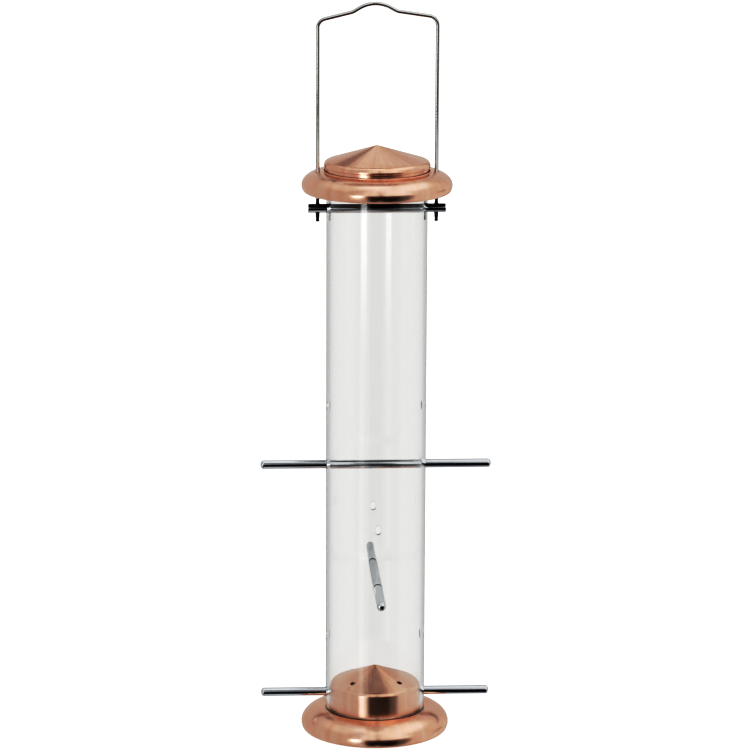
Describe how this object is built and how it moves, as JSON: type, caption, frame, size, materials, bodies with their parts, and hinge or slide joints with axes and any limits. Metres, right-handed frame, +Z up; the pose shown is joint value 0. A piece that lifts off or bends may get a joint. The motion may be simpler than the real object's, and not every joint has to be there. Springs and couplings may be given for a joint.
{
  "type": "hanging tube bird feeder",
  "caption": "Hanging tube bird feeder with a clear seed tube, domed copper lid and base, chrome perch rods and a bent wire handle that the lid slides up to open.",
  "frame": {"origin": "on the surface that the base stands on, under the middle of the tube", "axes": "+Z up along the tube, towards the handle; +X along the crossbar and the upper and base perches, to the right of a viewer who faces the feeder from the front; +Y along the middle perch, to the back"},
  "size_m": [0.1386, 0.1386, 0.443],
  "materials": {
    "clear_tube": "clear polycarbonate, polished",
    "copper": "satin spun copper",
    "chrome_rod": "bright chrome plate on steel rod",
    "chrome_wire": "bright chrome plate on steel wire"
  },
  "bodies": {
    "feeder": {"seed_tube": "clear_tube", "base_tray": "copper", "base_cup": "copper", "middle_perch": "chrome_rod", "upper_perch": "chrome_rod", "crossbar": "chrome_rod", "handle_wire": "chrome_wire"},
    "lid": {"lid_brim": "copper", "lid_cap": "copper"},
    "base_perch": {"base_perch": "chrome_rod"}
  },
  "joints": [
    {"name": "lid_lift", "type": "slide", "parent": "feeder", "child": "lid", "axis": [0, 0, 1], "range_m": [0, 0.081]},
    {"name": "base_perch_slide", "type": "slide", "parent": "feeder", "child": "base_perch", "axis": [1, 0, 0], "range_m": [-0.1, 0.1]}
  ]
}
